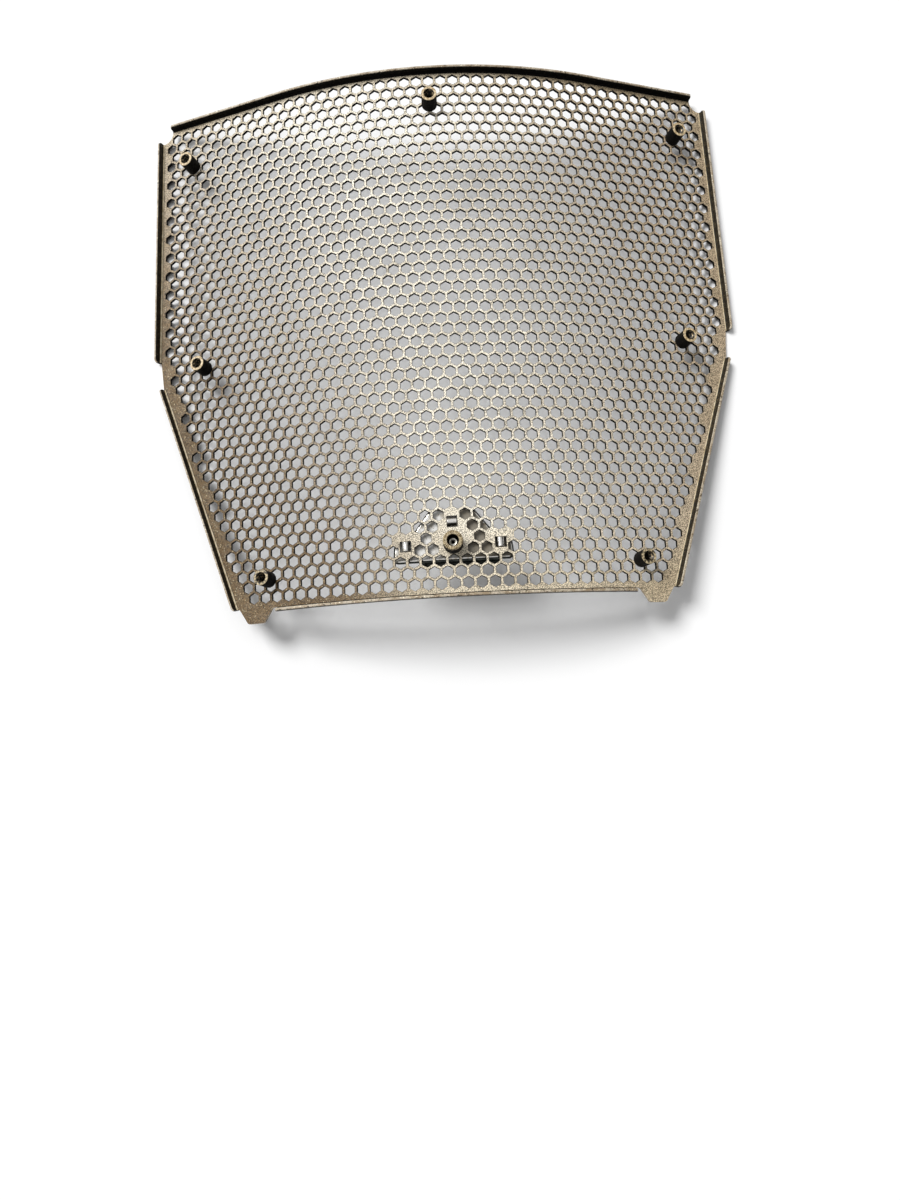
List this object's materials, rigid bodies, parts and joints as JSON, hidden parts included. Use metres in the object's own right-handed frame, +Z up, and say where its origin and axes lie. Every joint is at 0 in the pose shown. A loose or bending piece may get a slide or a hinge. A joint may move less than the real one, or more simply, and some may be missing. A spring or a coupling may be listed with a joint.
{
  "type": "radiator guard",
  "caption": "Arched perforated sheet guard with folded rims, stand-off posts on its rear face, two bottom tabs and a blank badge plate.",
  "frame": {"origin": "centre of the footprint, at the height of the lowest edge, with the guard lying arch up", "axes": "+X across the guard, +Y from the tabs towards the top fold, +Z up out of the rear face"},
  "size_m": [0.3376, 0.31, 0.0475],
  "materials": {
    "panel_coat": "speckled bronze powder coat on aluminium, dusty and lightly chipped",
    "post_coat": "black coat, worn to a brassy ring at the end",
    "boss_coat": "speckled bronze powder coat, worn at the rim",
    "badge_metal": "bare brushed metal, dulled black on its rear"
  },
  "bodies": {
    "root": {"mesh_panel": "panel_coat", "standoff_posts": "post_coat", "badge_boss": "boss_coat", "badge_plate": "badge_metal"}
  },
  "joints": []
}
